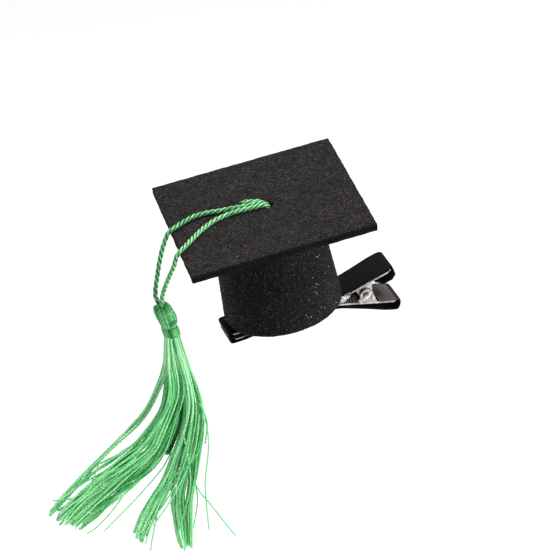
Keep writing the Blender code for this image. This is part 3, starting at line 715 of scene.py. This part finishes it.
def add_thread(shape, route, radius, tone, rng, taper=0.0, step=0.45, shade=None):
    """A two-ply thread along the route. A taper is the length over which it thickens at its start.

    shade gives what each place along it adds to its tone.
    """
    path = even_steps(route, step)
    tone = tone + shade(path) if shade else tone
    walked = walked_lengths(path)
    radii = radius * (0.62 + 0.38 * ease(walked / taper)) if taper else np.full(len(path), radius)
    radii[-1] *= 0.75
    # A tapered strand gets a painted highlight near its root and painted light towards its cut end.
    if taper:
        left = walked[-1] - walked
        tone = tone + PAINTED_ROOT_HIGHLIGHT * ease(1.3 - walked / taper) + PAINTED_END_LIGHT * ease(1 - left / END_REACH)
    offsets = round_offsets(radii, 8, 0.24, THREAD_TWIST, rng.uniform(0, 6), step)
    add_tube(shape, path, offsets, tone, rng.uniform(0, 400))


def head_reach(z):
    """How far the head reaches to -X, to +X and along Y at a height of its axis frame."""
    heights, *reaches = zip(*HEAD_OUTLINE)
    return [np.interp(z, heights, reach) for reach in reaches]


def head_shade(path):
    """Painted shade: darker under the cord's legs, and where the neck's windings pinch the strands.
    """
    x, y, z = path.T
    pinch = np.hypot((x - PINCH[0]) / 1.5, (z - PINCH[1]) / 1.1)
    return -0.38 * ease((z + 0.4) / 1.8) - 0.60 * ease(1.3 - pinch) * (y < 0)


def make_head():
    """Strands of floss folded over the cord's loop, front to back, on a core; the core and the
    inner layer are painted dark as shade.
    """
    rng = random.Random(5)
    heights = smooth_route([(0, 0, level[0]) for level in HEAD_OUTLINE], 0.35)[:, 2]
    shape = Shape()
    # The inner layer's lower tone is painted shade under the outer one.
    for inset, count, middle_tone in ((0.56, 15, -0.2), (0.20, 19, 0.30)):
        for i in range(count):
            across = (2 * (i + rng.uniform(0.2, 0.8)) / count - 1) * 0.97
            slant = rng.uniform(-0.05, 0.05)
            up_and_over = []
            for sign, levels in ((-1, heights), (1, heights[::-1][1:])):
                for z in levels:
                    left, right, depth = head_reach(z)
                    lean = np.clip(across + slant * (z + 2) / 4, -1, 1)
                    x = (right - inset if lean > 0 else left - inset) * lean
                    y = sign * max(depth - inset, 0) * math.sqrt(1 - 0.80 * lean * lean)
                    up_and_over.append((x, y, z - inset * 0.8 * (z > 0)))
            route = smooth_route(up_and_over[::3] + [up_and_over[-1]], 0.5)
            tone = middle_tone + rng.uniform(-0.40, 0.45)
            add_thread(shape, route, HEAD_THREAD, tone, rng, step=0.35, shade=head_shade)
    # The core's low tone is painted shade, seen between the strands.
    core = [(1.1, -6.9), (1.5, -5.8), (1.9, -4.4), (2.1, -2.6), (1.8, -0.8), (1.1, 0.5),
            (0.3, 1.0)]
    turned(shape, core, Matrix(), 24, tone=0.05)
    put(shape.piece("tassel_head_strands", FLOSS, AXIS), "tassel", "floss", "tassel_head")


def make_neck():
    """Thread wound level round the neck, over a core that follows the leaning axis."""
    lean = math.radians(TASSEL_LEAN)
    count = WOUND_TURNS * 36
    share = np.arange(round(count) + 1) / count
    angle = 2 * np.pi * WOUND_TURNS * share
    from_seam = (angle - SEAM_ANGLE + np.pi) % (2 * np.pi) - np.pi
    seam = np.exp(-(from_seam / 0.24) ** 2)
    # The winding bulges in the middle, widens downwards and dips at its seam.
    radius = WRAP_RADIUS - 0.68 + 0.16 * np.sin(np.pi * share) + 0.08 * share - 0.14 * seam
    x = radius * np.cos(angle)
    down = WOUND_TOP + (WOUND_FOOT - WOUND_TOP) * share
    path = np.stack([x, radius * np.sin(angle), down - x * math.tan(lean) * 0.85], axis=1)
    shape = Shape()
    # Painted shade: darker in the seam's dip in front, and towards the winding's sides.
    tone = 0.62 - 0.75 * seam - 0.25 * np.abs(np.sin(from_seam))
    rings = round_offsets(np.full(len(path), WOUND_THREAD), 9, 0.08, THREAD_TWIST, 0, 0.45)
    add_tube(shape, path, rings, tone, 3.0)
    core = [(1.2, WRAP_FOOT + 0.2), (1.6, WRAP_FOOT + 0.5), (1.6, WRAP_TOP), (1.2, WRAP_TOP + 0.3)]
    turned(shape, core, Matrix(), 28)
    put(shape.piece("tassel_neck_windings", FLOSS, AXIS), "tassel", "floss", "tassel_neck_wrap")


def fan_route(bundle, edges, place, clump, reach, rng):
    """A strand's way down its bundle, from inside the neck, gathering to its clump on the way.

    place and clump are (across, deep), each from -1 to 1.
    """
    first, second = edges
    middle_y, half_y = bundle["depth"]
    t = np.linspace(0, 1, len(first))
    gather = bundle.get("gather", GATHER) * ease(2.2 * t)
    sway = sum(rng.uniform(-0.10, 0.10) * np.sin(2 * np.pi * (k * t + rng.random()))
               for k in (1, 2.3, 4)) * ease(3 * t)
    across = place[0] * (1 - gather) + clump[0] * gather + sway
    deep = place[1] * (1 - gather) + clump[1] * gather
    level = first + (second - first) * (0.5 + 0.5 * across)[:, None]
    # Near the neck all strands share its depth, and further down each bundle has its own.
    opened = ease(3 * t)
    wander = deep + 0.22 * np.sin(2 * np.pi * (1.3 * t + rng.random())) * opened
    y = middle_y * opened + wander * (NECK_DEPTH * (1 - opened) + half_y * opened)
    fan = np.stack([level[:, 0], y, level[:, 1]], axis=1)
    lean = math.radians(TASSEL_LEAN)
    down = WRAP_FOOT + 1.6
    inside = (fan[0, 0] - NECK_MIDDLE_X) * 0.8
    neck = [(-down * math.sin(lean) + inside, place[1] * 1.5, down * math.cos(lean))]
    return even_steps(smooth_route(np.vstack([neck, fan[2::4], fan[-1:]]), 0.7), 0.7, reach)


def make_skirt():
    """The bundles of cut floss under the neck, clump by clump, and the strays."""
    for number, (name, bundle) in enumerate(BUNDLES.items()):
        rng = random.Random(40 + number)
        curves = [smooth_route(edge, 0.5) for edge in bundle["edges"]]
        edges = [even_steps(curve, walked_lengths(curve)[-1] / 60) for curve in curves]
        shape = Shape()
        made = 0
        while made < bundle["strands"]:
            members = rng.randint(2, 5)
            middle = -0.94 + 1.88 * (made + members / 2) / bundle["strands"]
            deep = rng.uniform(-0.9, 0.9)
            tone = bundle["tone"] + rng.uniform(-0.12, 0.10)
            for _ in range(members):
                place = (np.clip(middle + rng.uniform(-0.25, 0.25), -1, 1), rng.uniform(-1, 1))
                clump = (np.clip(middle + rng.uniform(-1, 1) * 3.4 / bundle["strands"], -1, 1),
                         deep + rng.uniform(-0.22, 0.22))
                route = fan_route(bundle, edges, place, clump, rng.uniform(0.95, 1.0), rng)
                radius = FLOSS_RADIUS * rng.uniform(0.80, 1.12)
                own_tone = tone + rng.triangular(-0.5, 0.3, 0.1)
                add_thread(shape, route, radius, own_tone, rng, TAPER)
                made += 1
        piece = shape.piece(name + "_floss", FLOSS, TASSEL)
        put(piece, "tassel", "floss", *([name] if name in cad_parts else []))
    rng = random.Random(90)
    shape = Shape()
    for route in STRAYS:
        tone = rng.uniform(0.4, 0.75)
        add_thread(shape, smooth_route(route, 0.6), FLOSS_RADIUS * 0.8, tone, rng)
    put(shape.piece("skirt_strays_floss", FLOSS, TASSEL), "tassel", "floss", "skirt_wisp_right")


# ---- felt ----

def cut_edge(rng, count):
    """How far a cut edge wanders from its line, point by point."""
    rough = np.convolve(rng.standard_normal(count + 8), np.ones(5) / 5, 'same')[4:-4]
    return 0.10 * rough + 0.03 * rng.standard_normal(count)


def make_board(name, top, shift, seed):
    """A square of glitter felt with a nap, cut edges and the cord's hole."""
    rng = np.random.default_rng(seed)
    count = 130
    half = BOARD_SIDE / 2
    inner = np.linspace(RIM - half, half - RIM, count - 2)
    line = np.concatenate([[-half], inner, [half]])
    cell = inner[1] - inner[0]
    x, y = np.meshgrid(line, line, indexing='ij')
    spin = math.radians(-BOARD_YAW)
    off_x, off_y = HOLE_CENTRE[0] - shift[0], HOLE_CENTRE[1] - shift[1]
    hole = (off_x * math.cos(spin) - off_y * math.sin(spin),
            off_x * math.sin(spin) + off_y * math.cos(spin))
    middle = (line[:-1] + line[1:]) / 2
    cell_x, cell_y = np.meshgrid(middle, middle, indexing='ij')
    keep = np.hypot(cell_x - hole[0], cell_y - hole[1]) > HOLE_RADIUS - cell * 0.2
    edge = half - np.maximum(np.abs(x), np.abs(y))
    sides = []
    for z, direction in ((0.0, -1), (-FELT, 1)):
        u, v = x.copy(), y.copy()
        for grid in (u, v.T):
            for rows, outward in (((0, 1), -1), ((-1, -2), 1)):
                grid[rows, :] += outward * (cut_edge(rng, count) - EDGE_LOSS)
        away = np.hypot(u - hole[0], v - hole[1])
        pushed = np.maximum(away, HOLE_RADIUS) / np.maximum(away, 1e-6)
        u, v = hole[0] + (u - hole[0]) * pushed, hole[1] + (v - hole[1]) * pushed
        rolled = 0.05 * (edge < RIM / 2) + 0.14 * (away < HOLE_RADIUS + 0.1)
        lumps = relief(rng, count, count) * 0.020
        nap = z + direction * (rolled + np.clip(lumps - 0.01, -NAP_LIMIT, NAP_LIMIT))
        sides.append(np.stack([u, v, nap], axis=2))
    # Painted shade on the cut edge's sides, deepest at the underside's rim.
    tones = np.full((2, count, count), 0.5)
    tones[:, edge < RIM / 2] = [[PAINTED_EDGE_SHADE / 2], [PAINTED_EDGE_SHADE]]
    shape = Shape()
    add_sheet(shape, sides[0], sides[1], keep, tones)
    place = CAP @ Matrix.Translation((*shift, top)) @ Matrix.Rotation(-spin, 4, 'Z')
    put(shape.piece(name + "_nap", FELT_FINISH, place), "cap", "felt", name)


def band_place(along, z, out):
    """A point of the band: degrees along its strip, height, and how far out of its inner face."""
    rise = BAND_LAP * 0.7
    climb = ease((along - (360 - rise)) / rise) * (BAND_FELT + GLUE_FILM)
    drop = (BAND_TOP_Z - z) / BAND_HEIGHT
    radius = BAND_TOP_RADIUS + (BAND_BOTTOM_RADIUS - BAND_TOP_RADIUS) * drop
    radius = radius - BAND_FELT + climb + out
    angle = np.radians(BAND_SEAM + along)
    x, y = radius * np.cos(angle), radius * np.sin(angle) * BAND_OVAL
    return np.stack([x, y, z + 0 * angle], axis=-1)


def make_band():
    """The felt strip rolled to a ring, with its outer end lapped over the inner one."""
    rng = np.random.default_rng(21)
    columns, rows = 262, 74
    along, z = np.meshgrid(np.linspace(0, 360 + BAND_LAP, columns),
                           np.linspace(BAND_TOP_Z, BAND_TOP_Z - BAND_HEIGHT, rows), indexing='ij')
    edge = np.minimum(np.arange(rows), np.arange(rows)[::-1])[None, :]
    edge = np.minimum(edge, np.minimum(np.arange(columns), np.arange(columns)[::-1])[:, None])
    faces = []
    for out, direction in ((BAND_FELT, -1), (0.0, 1)):
        rolled = 0.22 * (edge == 0) + 0.05 * (edge == 1)
        lumps = relief(rng, columns, rows) * 0.022
        level = z.copy()
        level[:, -1] += cut_edge(rng, columns) * 0.8
        depth = out + direction * (rolled + np.clip(0.03 + lumps, -0.02, 0.12))
        faces.append(band_place(along, level, depth))
    shape = Shape()
    # Painted shade: the band's wall is darker than the board's top, though the felt is the same.
    add_sheet(shape, faces[0][:, ::-1], faces[1][:, ::-1], tone=0.15)
    put(shape.piece("band_wall_nap", FELT_FINISH), "cap", "felt", "band_wall")


def add_flake(shape, place, normal, rng):
    """A six-sided flake of glitter, tipped a little out of its surface."""
    size = rng.uniform(0.07, 0.15)
    ahead = Vector(normal) + Vector([rng.gauss(0, 0.24) for _ in range(3)])
    turn = ahead.to_track_quat('Z', 'Y').to_matrix() @ Matrix.Rotation(rng.uniform(0, 1), 3, 'Z')
    ring = [turn @ Vector((size * math.cos(a), size * math.sin(a), 0))
            for a in (math.pi / 3 * k for k in range(6))]
    lift = ahead.normalized() * 0.012
    base = Vector(place)
    places = [base + p + lift for p in ring] + [base + p - lift for p in ring]
    faces = [[0, 1, 2, 3, 4, 5], [11, 10, 9, 8, 7, 6]]
    faces += [[k, 6 + k, 6 + (k + 1) % 6, (k + 1) % 6] for k in range(6)]
    shape.add(places, faces, rng.random())


def make_flakes():
    """Glitter on the board's two faces and all round the band."""
    rng = random.Random(11)
    half = BOARD_SIDE / 2 - 0.4
    yaw = Matrix.Rotation(math.radians(BOARD_YAW), 3, 'Z')
    under = BOARD_TOP_Z - 2 * FELT - GLUE_FILM
    for name, z, up, shift in (("board_top_glitter", BOARD_TOP_Z + 0.01, 1, (0, 0)),
                               ("board_under_glitter", under - 0.01, -1, LOWER_SHIFT)):
        shape = Shape()
        while shape.count < BOARD_FLAKES * FLAKE_POINTS:
            flat = yaw @ Vector((rng.uniform(-half, half), rng.uniform(-half, half), 0))
            spot = flat + Vector((*shift, z))
            if math.hypot(spot.x - HOLE_CENTRE[0], spot.y - HOLE_CENTRE[1]) > HOLE_RADIUS + 0.3:
                add_flake(shape, spot, (0, 0, up), rng)
        put(shape.piece(name, FLAKES, crease=20), "cap", "felt")
    shape = Shape()
    for _ in range(BAND_FLAKES):
        along = rng.uniform(2, 360)
        z = rng.uniform(BAND_TOP_Z - BAND_HEIGHT + 0.4, BAND_TOP_Z - 0.4)
        spot = band_place(along, z, BAND_FELT)
        out = band_place(along, z, BAND_FELT + 1) - spot
        add_flake(shape, spot, out + np.array([0, 0, 0.06]), rng)
    put(shape.piece("band_glitter", FLAKES, crease=20), "cap", "felt")


# ---- clip ----

def arm_height(side, x):
    """How far an arm's inner face stands from the closing plane at x."""
    bend, slope = (UPPER_BEND_X, UPPER_SLOPE) if side > 0 else (LOWER_BEND_X, LOWER_SLOPE)
    past = x - bend
    if past < -BEND_REACH:
        past = 0
    elif past < BEND_REACH:
        past = (past + BEND_REACH) ** 2 / (4 * BEND_REACH)
    return JAW_HALF_GAP + past * math.tan(math.radians(slope))


def ribbon_path(side):
    """Side path of a ribbon's face towards its arm, as (x, height, width's share)."""
    tip = UPPER_TIP_X if side > 0 else LOWER_TIP_X
    slope = math.radians(UPPER_SLOPE if side > 0 else LOWER_SLOPE)
    outer_slack, inner_slack = UPPER_SLACK if side > 0 else LOWER_SLACK
    slack_start = SLACK_START_X[0 if side > 0 else 1]
    lift = STEEL + RIBBON_LIFT
    under = JAW_HALF_GAP - RIBBON_LIFT
    over = JAW_HALF_GAP + lift + TIP_PUFF / 2
    path = [(tip + TIP_FOLD, under, 1), (tip + 2.0, under, 1), (tip - 0.10, under, 0.9),
            (tip - TIP_BULGE, under + 0.2, 0.9), (tip - TIP_BULGE, over - 0.2, 0.9),
            (tip - 0.05, over + TIP_PUFF / 3, 0.93)]
    for i in range(1, 16):
        x = tip + (HANDLE_END_X - 1.0 - tip) * i / 15
        slack = outer_slack * max((x - slack_start) / (SLACK_FULL_X - slack_start), 0) ** 1.6
        rise = (lift + min(slack, outer_slack)) / math.cos(slope if x > LOWER_BEND_X else 0)
        puff = TIP_PUFF * ease(1 - (x - tip) / 6)
        path.append((x, arm_height(side, x) + rise + puff, 1 - 0.06 * (i == 15)))
    top, bottom = lift + outer_slack, -RIBBON_LIFT - inner_slack
    end = Vector((HANDLE_END_X, arm_height(side, HANDLE_END_X)))
    along = Vector((math.cos(slope), math.sin(slope)))
    normal = Vector((-along.y, along.x))
    bulge, width = (UPPER_END_BULGE, 0.82) if side > 0 else (LOWER_END_BULGE, 0.90)
    for angle in range(75, -76, -30):
        turn = math.radians(angle)
        height = (top + bottom) / 2 + (top - bottom) / 2 * math.sin(turn)
        place = end + along * (bulge * math.cos(turn)) + normal * height
        path.append((place.x, place.y, width - 0.06 * math.cos(turn)))
    under_end = HANDLE_END_X - 0.7
    for i in range(6):
        x = under_end - (under_end - RIBBON_STOP_X) * i / 5
        sag = RIBBON_LIFT + inner_slack * ease((x - RIBBON_STOP_X) / (SAG_FULL_X - RIBBON_STOP_X))
        path.append((x, arm_height(side, x) - sag / math.cos(slope), 1))
    return smooth_route(path, 0.125)


def make_ribbon(name, side, body):
    """Grosgrain along an arm: ribs across it, scalloped at the selvage."""
    path = ribbon_path(side)
    ahead = np.gradient(path[:, :2], axis=0)
    ahead /= np.linalg.norm(ahead, axis=1)[:, None]
    outward = np.stack([-ahead[:, 1], ahead[:, 0]], axis=1)
    walked = walked_lengths(path[:, :2])
    rib = np.abs(np.cos(np.pi * walked / RIB_PITCH)) ** 0.7 * 0.06
    across = np.array([-1, -0.985, -0.93, -0.6, 0, 0.6, 0.93, 0.985, 1])
    dome = np.array([0.35, 0.8, 1.05, 1, 1, 1, 1.05, 0.8, 0.35])
    edge = path[:, 2] * RIBBON_WIDTH / 2 + 0.05 * np.cos(2 * np.pi * walked / RIB_PITCH)
    end = walked[np.argmax(path[:, 0])]
    # Paler and browner round the handle's end.
    tone = 0.05 + 0.45 * ease(1 - np.abs(walked - end) / 2.5)
    # Painted sheen: the lower ribbon's fold inside its handle is much paler.
    if side < 0:
        tone = tone + 0.62 * ease((walked - end - 1.0) / 1.0)
    half = (RIBBON / 2 - 0.05 + rib)[:, None] * dome
    centre = path[:, :2] + outward * (RIBBON / 2)
    grids = []
    for sign in (1, -1):
        place = centre[:, None] + outward[:, None] * (sign * half)[..., None]
        over = edge[:, None] * across
        grids.append(np.stack([place[..., 0], over, side * place[..., 1]], axis=2))
    shape = Shape()
    if side > 0:
        grids.reverse()
    add_sheet(shape, grids[0], grids[1], tone=tone, along=walked)
    put(shape.piece(name + "_grosgrain", GROSGRAIN), body, "ribbon", name)


def make_spring():
    """The coil round the pin, one leg with each handle."""
    span = SPRING_PITCH * SPRING_TURNS
    upper = math.radians(90 + UPPER_SLOPE)
    lower = math.radians(-90 - LOWER_SLOPE)
    turns = SPRING_TURNS + (upper - lower) / (2 * math.pi)
    t = np.linspace(0, 1, round(28 * turns))
    angle = upper - t * turns * 2 * np.pi
    coil = np.stack([PIVOT_X + SPRING_COIL_RADIUS * np.cos(angle), span * (t - 0.5),
                     PIVOT_Z + SPRING_COIL_RADIUS * np.sin(angle)], axis=1)
    ends = []
    for point, slope in ((coil[0], UPPER_SLOPE), (coil[-1], -LOWER_SLOPE)):
        turn = math.radians(slope)
        way = np.array((math.cos(turn), 0, math.sin(turn)))
        ends.append([point + way * SPRING_LEG * share for share in (1, 0.75, 0.5, 0.25)])
    path = np.vstack([ends[0], coil, ends[1][::-1]])
    shape = Shape()
    add_tube(shape, path, round_offsets(np.full(len(path), SPRING_WIRE / 2), 14))
    spring = shape.piece("torsion_spring_wire", NICKEL, crease=50)
    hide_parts("torsion_spring")
    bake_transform(spring)


def make_pin():
    """The pivot pin, headed over on both ears."""
    low, high = [corner.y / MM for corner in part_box("pivot_pin")]
    profile = [(0.15, 0), (0.75, 0.05), (0.98, 0.18), (0.98, 0.30), (0.60, 0.34)]
    length = high - low
    whole = profile + [(radius, length - z) for radius, z in reversed(profile)]
    stand = Matrix.Translation((PIVOT_X, high, PIVOT_Z)) @ Matrix.Rotation(math.pi / 2, 4, 'X')
    shape = Shape()
    turned(shape, whole, stand, 32)
    put(shape.piece("pivot_pin_headed", NICKEL, crease=30), "cap", "steel", "pivot_pin")


def add_blob(shape, route, radii, rng):
    """A lumpy run of hot glue."""
    path = smooth_route(route, 0.12)
    t = np.linspace(0, 1, len(path))
    radius = np.interp(t, np.linspace(0, 1, len(radii)), radii)
    lumps = sum(rng.uniform(0.04, 0.10) * np.sin(2 * np.pi * (k * t + rng.random()))
                for k in (2, 3, 5))
    offsets = round_offsets(np.maximum(radius * (1 + lumps), 0.02), 18, 0.10, 1.7, 0, 0.12)
    add_tube(shape, path, offsets)


def make_squeezed_glue():
    """Hot glue that came out beside the arm, with a thread drawn from it."""
    rng = random.Random(3)
    shape = Shape()
    add_blob(shape, [(12.6, -4.5, 1.2), (13.8, -4.9, 1.0), (15.2, -5.0, 1.0), (16.6, -4.9, 0.9),
                     (17.6, -4.7, 0.9)], (0.15, 0.62, 0.74, 0.55, 0.06), rng)
    add_blob(shape, [(13.4, -5.0, 0.5), (14.6, -5.2, 0.2), (16.2, -5.1, 0.1)],
             (0.10, 0.34, 0.05), rng)
    add_blob(shape, [(15.4, -4.9, 1.4), (16.8, -5.0, 1.9), (18.2, -4.9, 2.0)],
             (0.16, 0.07, 0.05), rng)
    put(shape.piece("glue_squeeze_out", GLUE), "cap", "glue")


def dress_frame():
    """Finishes for the CAD nodes that stay as they are."""
    for material, names in ((NICKEL, ("clip_upper_arm", "clip_lower_arm")),
                            (GLUE, ("clip_glue_pad", "board_glue_ring", "base_glue_ring")),
                            (FELT_FINISH, ("base_disc",)), (CORD, ("cord_knot",))):
        for name in names:
            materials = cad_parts[name].data.materials
            materials.clear()
            materials.append(material)


# ---- stage ----

def make_stage():
    """A plain pale floor well under the held clip, a pale world and soft lights."""
    floor_mesh = bpy.data.meshes.new("floor")
    corners = [(x * FLOOR_REACH, y * FLOOR_REACH, FLOOR_LEVEL)
               for x, y in ((-1, -1), (1, -1), (1, 1), (-1, 1))]
    floor_mesh.from_pydata(corners, [], [(0, 1, 2, 3)])
    paper = Finish("pale_floor", Roughness=0.95)
    paper.colour(paper.noise(paper.place(), 3), (0.3, (0.78, 0.78, 0.78)),
                 (0.7, (0.80, 0.80, 0.80)))
    floor_mesh.materials.append(paper.material)
    show("floor", floor_mesh)

    world = bpy.data.worlds.new("pale_room")
    world.use_nodes = True
    background = world.node_tree.nodes["Background"]
    background.inputs["Color"].default_value = (1, 1, 1, 1)
    background.inputs["Strength"].default_value = ROOM_LIGHT
    bpy.context.scene.world = world

    for name, place, size, power in LIGHTS:
        light = show(name, bpy.data.lights.new(name, 'AREA'))
        light.data.size = size
        light.data.energy = power
        light.location = place
        light.rotation_mode = 'QUATERNION'
        light.rotation_quaternion = (-Vector(place)).to_track_quat('-Z', 'Y')
    bpy.context.scene.view_settings.view_transform = 'Standard'


make_camera()
make_head()
make_neck()
make_cords()
make_fray()
make_skirt()
make_board("board_top_felt", BOARD_TOP_Z, (0, 0), 1)
make_board("board_bottom_felt", BOARD_TOP_Z - FELT - GLUE_FILM, LOWER_SHIFT, 2)
make_band()
make_flakes()
make_ribbon("ribbon_upper", 1, "cap")
make_ribbon("ribbon_lower", -1, "lower_arm")
make_spring()
make_pin()
make_squeezed_glue()
dress_frame()
make_stage()
